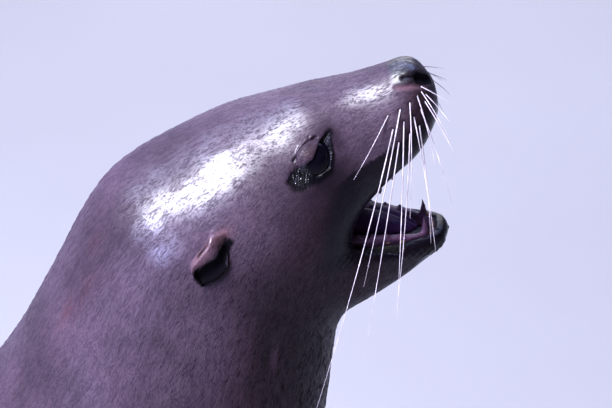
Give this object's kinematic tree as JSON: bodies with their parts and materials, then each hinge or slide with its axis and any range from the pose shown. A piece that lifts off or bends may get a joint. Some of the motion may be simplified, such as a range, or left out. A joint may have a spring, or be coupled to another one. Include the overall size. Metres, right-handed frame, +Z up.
{
  "type": "sea lion",
  "caption": "Life-size model of a young male sea lion sitting up on its fore flippers, head raised and mouth open, resting on belly and flippers.",
  "frame": {"origin": "middle of the bounding box's base, on the floor", "axes": "+X the way the animal faces, +Y its left side, +Z up"},
  "size_m": [1.3873, 1.204, 1.0463],
  "materials": {
    "coat": "wet short fur",
    "flipper_skin": "bare leathery skin",
    "gum": "wet",
    "tongue": "wet",
    "eye": "wet and glossy",
    "nail": "horn"
  },
  "bodies": {
    "root": {"head": "coat", "lower_jaw": "coat", "neck": "coat", "trunk": "coat", "hindquarters": "coat", "tail": "coat", "ear_left": "coat", "ear_right": "coat", "fore_flipper_left": "flipper_skin", "fore_flipper_right": "flipper_skin", "hind_flipper_left": "flipper_skin", "hind_flipper_right": "flipper_skin", "upper_gum": "gum", "lower_gum": "gum", "tongue": "tongue", "eye_left": "eye", "eye_right": "eye", "hind_nail_1_left": "nail", "hind_nail_1_right": "nail", "hind_nail_2_left": "nail", "hind_nail_2_right": "nail", "hind_nail_3_left": "nail", "hind_nail_3_right": "nail"}
  },
  "joints": []
}
